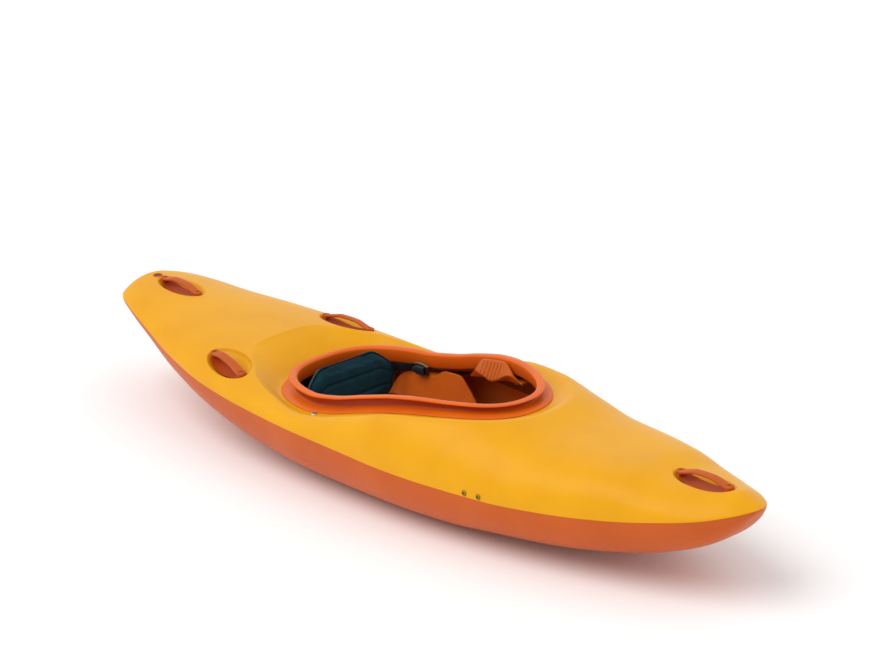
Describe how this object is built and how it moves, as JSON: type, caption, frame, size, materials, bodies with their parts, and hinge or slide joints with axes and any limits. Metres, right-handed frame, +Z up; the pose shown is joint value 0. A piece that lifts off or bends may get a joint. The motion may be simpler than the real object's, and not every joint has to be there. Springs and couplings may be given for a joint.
{
  "type": "whitewater kayak",
  "caption": "Short whitewater kayak for one paddler: two-tone shell, raised cockpit rim, seat, back band, thigh braces, footrest and recessed grab handles.",
  "frame": {"origin": "under the middle of the boat's length and beam, on the surface that the hull rests on", "axes": "+X to the bow, +Y to port (the paddler's left), +Z up"},
  "size_m": [2.4, 0.634, 0.3324],
  "materials": {
    "deck_plastic": "moulded polyethylene, satin sheen, yellow",
    "hull_plastic": "moulded polyethylene, satin sheen, orange",
    "rim_plastic": "moulded polyethylene, satin sheen, deep orange",
    "plug_rubber": "moulded rubber, dull, brown",
    "seat_plastic": "moulded polyethylene, fine grain, orange",
    "band_plastic": "moulded nylon, dull, black",
    "band_fabric": "coated woven cloth over foam, dark blue black",
    "webbing": "woven polyester webbing, black",
    "grey_plastic": "moulded nylon, grey",
    "foam": "closed-cell foam, dark grey",
    "rail_alloy": "extruded, satin",
    "bolt_steel": "stainless steel, turned",
    "dark_steel": "blackened stainless steel"
  },
  "bodies": {
    "hull": {"deck_shell": "deck_plastic", "hull_shell": "hull_plastic", "cockpit_coaming": "rim_plastic", "bow_grab_handle": "rim_plastic", "stern_grab_handle": "rim_plastic", "port_side_grab_handle": "rim_plastic", "starboard_side_grab_handle": "rim_plastic", "bow_grab_handle_bolt_front": "dark_steel", "bow_grab_handle_bolt_rear": "dark_steel", "stern_grab_handle_bolt_front": "dark_steel", "stern_grab_handle_bolt_rear": "dark_steel", "port_side_grab_handle_bolt_front": "dark_steel", "port_side_grab_handle_bolt_rear": "dark_steel", "starboard_side_grab_handle_bolt_front": "dark_steel", "starboard_side_grab_handle_bolt_rear": "dark_steel", "drain_seat": "rim_plastic", "front_pillar": "foam", "rear_pillar": "foam", "seat_bolt_port": "bolt_steel", "seat_bolt_starboard": "bolt_steel", "seat_nut_port": "bolt_steel", "seat_nut_starboard": "bolt_steel", "footrest_rail_port": "rail_alloy", "footrest_rail_starboard": "rail_alloy", "footrest_rail_bolt_port_1": "bolt_steel", "footrest_rail_bolt_port_2": "bolt_steel", "footrest_rail_bolt_starboard_1": "bolt_steel", "footrest_rail_bolt_starboard_2": "bolt_steel", "thigh_brace_bolt_port_1": "bolt_steel", "thigh_brace_bolt_port_2": "bolt_steel", "thigh_brace_bolt_starboard_1": "bolt_steel", "thigh_brace_bolt_starboard_2": "bolt_steel"},
    "drain_plug": {"drain_plug": "plug_rubber"},
    "seat": {"seat_pan": "seat_plastic", "ratchet_base_port": "grey_plastic", "ratchet_base_starboard": "grey_plastic", "backband_pin_port": "bolt_steel", "backband_pin_starboard": "bolt_steel", "backband_strap_port": "webbing", "backband_strap_starboard": "webbing"},
    "backband": {"backband_shell": "band_plastic", "backband_pad": "band_fabric"},
    "ratchet_lever_port": {"ratchet_lever_port": "band_plastic"},
    "ratchet_lever_starboard": {"ratchet_lever_starboard": "band_plastic"},
    "thigh_brace_port": {"thigh_brace_port": "seat_plastic"},
    "thigh_brace_starboard": {"thigh_brace_starboard": "seat_plastic"},
    "footrest": {"footrest_plate": "band_plastic", "footrest_pad": "foam", "footrest_clamp_port": "band_plastic", "footrest_clamp_starboard": "band_plastic"}
  },
  "joints": [
    {"name": "seat_slide", "type": "slide", "parent": "hull", "child": "seat", "axis": [1, 0, 0], "range_m": [-0.02, 0.02]},
    {"name": "backband_tilt", "type": "hinge", "parent": "seat", "child": "backband", "pos_m": [-0.262, 0, 0.106], "axis": [0, 1, 0], "range_deg": [-2, 30]},
    {"name": "ratchet_lever_port_lift", "type": "hinge", "parent": "seat", "child": "ratchet_lever_port", "pos_m": [-0.194, 0.173, 0.203], "axis": [0, 0, 1], "range_deg": [0, 55]},
    {"name": "ratchet_lever_starboard_lift", "type": "hinge", "parent": "seat", "child": "ratchet_lever_starboard", "pos_m": [-0.194, -0.173, 0.203], "axis": [0, 0, -1], "range_deg": [0, 55]},
    {"name": "thigh_brace_port_slide", "type": "slide", "parent": "hull", "child": "thigh_brace_port", "axis": [0.9806, 0, 0.1961], "range_m": [-0.015, 0.015]},
    {"name": "thigh_brace_starboard_slide", "type": "slide", "parent": "hull", "child": "thigh_brace_starboard", "axis": [0.9806, 0, 0.1961], "range_m": [-0.015, 0.015]},
    {"name": "footrest_slide", "type": "slide", "parent": "hull", "child": "footrest", "axis": [1, 0, 0], "range_m": [-0.08, 0.08]},
    {"name": "drain_plug_turn", "type": "hinge", "parent": "hull", "child": "drain_plug", "pos_m": [-1.155, 0, 0.3], "axis": [0, 0, 1], "range_deg": [0, 720]}
  ]
}
